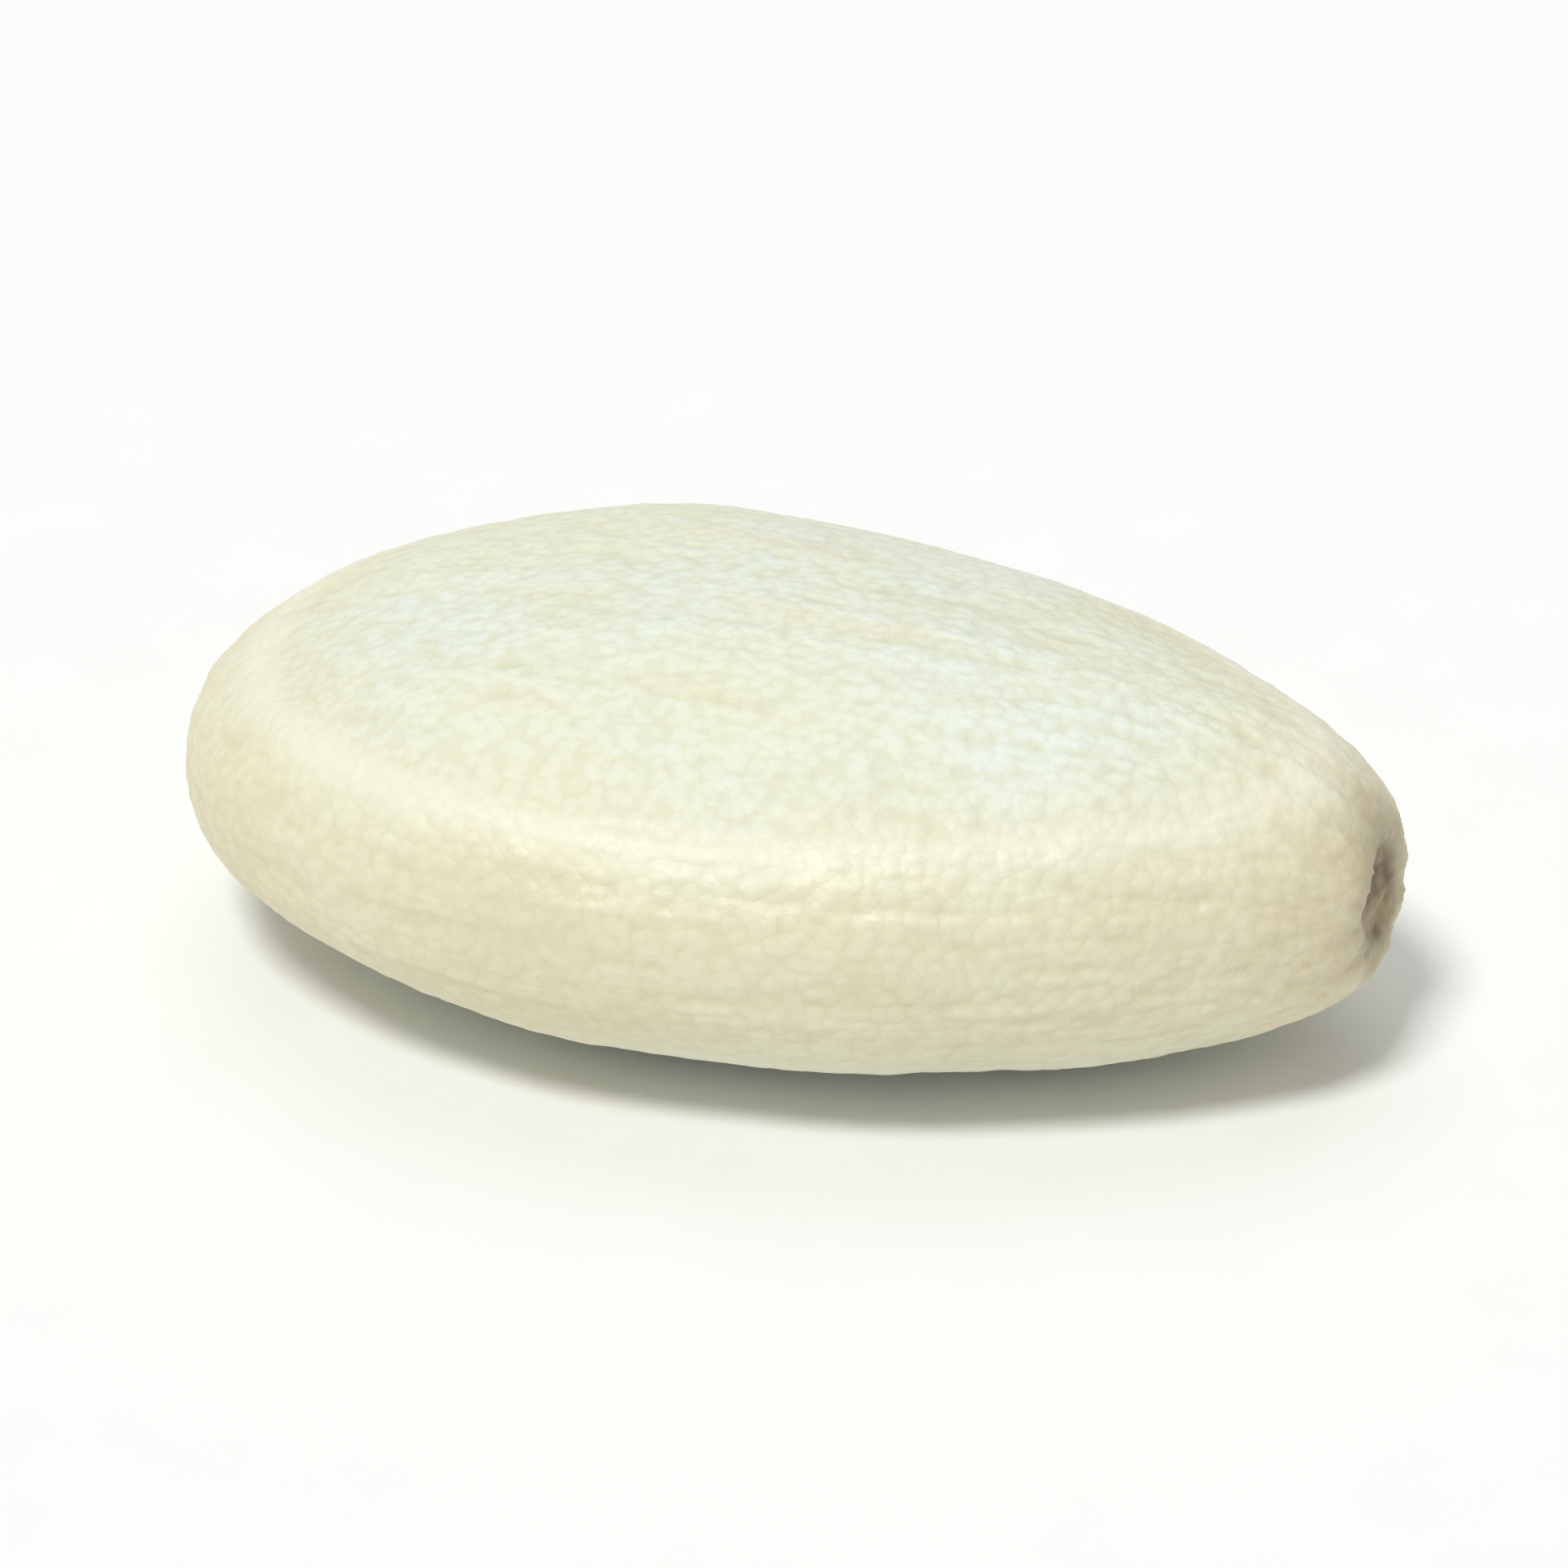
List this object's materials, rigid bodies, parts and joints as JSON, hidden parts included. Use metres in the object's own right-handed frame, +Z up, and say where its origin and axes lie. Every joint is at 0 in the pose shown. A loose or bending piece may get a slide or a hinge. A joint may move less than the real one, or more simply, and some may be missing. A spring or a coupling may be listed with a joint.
{
  "type": "sesame seed",
  "caption": "Natural cream-white sesame seed: a flat, drop-shaped seed with a fine rim round each face and a small round scar at its drawn-out end.",
  "frame": {"origin": "under the middle of the seed, on the surface that it rests on", "axes": "+X along the seed towards the drawn-out end with the scar, +Y across its width, +Z up through its broad faces"},
  "size_m": [0.0032, 0.002, 0.001],
  "materials": {
    "seed_coat": "satin"
  },
  "bodies": {
    "root": {"seed": "seed_coat"}
  },
  "joints": []
}
